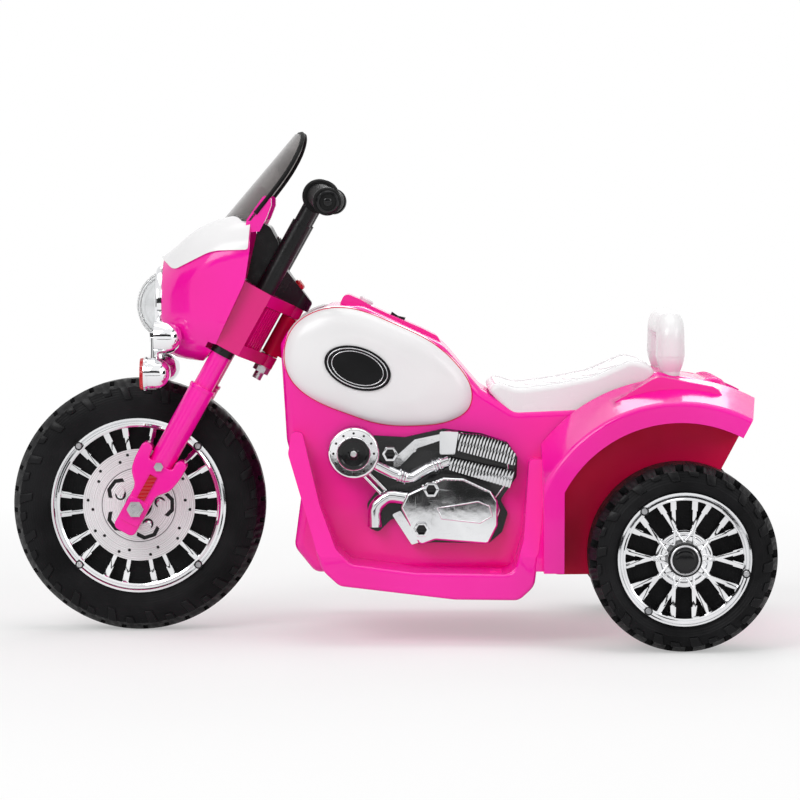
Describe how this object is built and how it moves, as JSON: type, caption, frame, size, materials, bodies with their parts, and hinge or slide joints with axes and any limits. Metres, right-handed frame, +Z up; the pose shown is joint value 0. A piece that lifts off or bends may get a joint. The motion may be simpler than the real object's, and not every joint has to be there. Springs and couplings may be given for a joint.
{
  "type": "ride-on toy trike",
  "caption": "Ride-on electric toy trike styled as a cruiser motorbike, with steerable fork and fairing, plated mock engine, geared rear drive, foot pedal and backrest hoop.",
  "frame": {"origin": "middle of the footprint, on the ground", "axes": "+X backwards along the toy, +Y to the right of a rider, +Z up; the rider faces -X"},
  "size_m": [0.8, 0.424, 0.531],
  "materials": {
    "pink_plastic": "glossy moulded",
    "white_plastic": "glossy moulded",
    "black_plastic": "fine satin",
    "grip_rubber": "ribbed satin",
    "tyre_plastic": "blow-moulded satin",
    "plated_plastic": "mirror plated",
    "disc_silver": "satin silver",
    "steel": "bright",
    "clear_plastic": "clear moulded",
    "smoke_plastic": "smoke tint",
    "red_plastic": "translucent moulded",
    "gear_nylon": "natural",
    "battery_case": "moulded",
    "circuit_board": "solder mask"
  },
  "bodies": {
    "chassis": {"body_shell_left": "pink_plastic", "body_shell_right": "pink_plastic", "belly_pan": "pink_plastic", "steering_neck": "black_plastic", "tank_panel_left": "white_plastic", "tank_panel_right": "white_plastic", "tank_badges": "black_plastic", "engine_cover_left": "plated_plastic", "engine_cover_right": "plated_plastic", "tank_console": "pink_plastic", "seat": "white_plastic", "backrest_hoop": "white_plastic", "tail_cowl": "pink_plastic", "rear_axle": "steel", "gearbox_case": "black_plastic", "motor": "steel", "battery": "battery_case", "control_board": "circuit_board", "charging_socket": "black_plastic", "shell_screws": "steel"},
    "steering": {"steering_head": "pink_plastic", "steering_bolt": "steel", "fork_fasteners": "steel", "fork_tubes": "pink_plastic", "fork_collars": "black_plastic", "fork_lower_left": "pink_plastic", "fork_lower_right": "pink_plastic", "fork_reflectors": "red_plastic", "front_axle": "steel", "fairing": "pink_plastic", "fairing_cap": "white_plastic", "windscreen": "smoke_plastic", "headlight_bezel": "plated_plastic", "headlight_bowl": "plated_plastic", "headlight_lens": "clear_plastic", "lamp_brackets": "plated_plastic", "signal_lenses": "red_plastic", "dash": "black_plastic", "handlebars": "black_plastic", "grip_left": "grip_rubber", "grip_right": "grip_rubber"},
    "front_wheel": {"front_tyre": "tyre_plastic", "front_rim_left": "plated_plastic", "front_rim_right": "plated_plastic", "brake_discs": "disc_silver", "front_wheel_screws": "steel"},
    "rear_wheel_left": {"rear_tyre_left": "tyre_plastic", "rear_rim_left": "plated_plastic", "hubcap_left": "black_plastic"},
    "rear_wheel_right": {"rear_tyre_right": "tyre_plastic", "rear_rim_right": "plated_plastic", "hubcap_right": "black_plastic", "drive_gear": "gear_nylon"},
    "idler": {"idler_gear": "gear_nylon"},
    "pinion": {"motor_pinion": "gear_nylon"},
    "pedal": {"foot_pedal": "black_plastic"},
    "rocker": {"power_switch": "black_plastic"},
    "starter": {"start_button": "white_plastic"},
    "horn": {"horn_button": "red_plastic"},
    "music": {"music_button": "red_plastic"}
  },
  "joints": [
    {"name": "steering_turn", "type": "hinge", "parent": "chassis", "child": "steering", "pos_m": [-0.22652, 0, 0.11367], "axis": [0.4848, 0, 0.8746], "range_deg": [-25, 25]},
    {"name": "front_wheel_spin", "type": "hinge", "parent": "steering", "child": "front_wheel", "pos_m": [-0.265, 0, 0.135], "axis": [0, 1, 0], "continuous": true},
    {"name": "rear_left_spin", "type": "hinge", "parent": "chassis", "child": "rear_wheel_left", "pos_m": [0.304, -0.168, 0.096], "axis": [0, 1, 0], "continuous": true},
    {"name": "rear_right_spin", "type": "hinge", "parent": "chassis", "child": "rear_wheel_right", "pos_m": [0.304, 0.168, 0.096], "axis": [0, 1, 0], "continuous": true},
    {"name": "idler_spin", "type": "hinge", "parent": "chassis", "child": "idler", "pos_m": [0.293, 0.084, 0.11505], "axis": [0, 1, 0], "continuous": true},
    {"name": "pinion_spin", "type": "hinge", "parent": "chassis", "child": "pinion", "pos_m": [0.283, 0.078, 0.13237], "axis": [0, 1, 0], "continuous": true},
    {"name": "pedal_press", "type": "hinge", "parent": "chassis", "child": "pedal", "pos_m": [0.096, 0.11, 0.0868], "axis": [0, -1, 0], "range_deg": [0, 6], "stiffness_Nm_per_rad": 3},
    {"name": "rocker_tilt", "type": "hinge", "parent": "chassis", "child": "rocker", "pos_m": [0.01117, 0, 0.33354], "axis": [0, 1, 0], "range_deg": [-10, 10]},
    {"name": "start_press", "type": "slide", "parent": "chassis", "child": "starter", "axis": [-0.5017, 0, -0.865], "range_m": [0, 0.0025], "stiffness_N_per_m": 300},
    {"name": "horn_press", "type": "slide", "parent": "steering", "child": "horn", "axis": [-0.7998, 0, -0.6002], "range_m": [0, 0.0025], "stiffness_N_per_m": 300},
    {"name": "music_press", "type": "slide", "parent": "steering", "child": "music", "axis": [-0.7998, 0, -0.6002], "range_m": [0, 0.0025], "stiffness_N_per_m": 300}
  ],
  "couplings": [
    {"joint": "idler_spin", "follows": "rear_right_spin", "ratio": -2.6667},
    {"joint": "pinion_spin", "follows": "rear_right_spin", "ratio": 8}
  ]
}
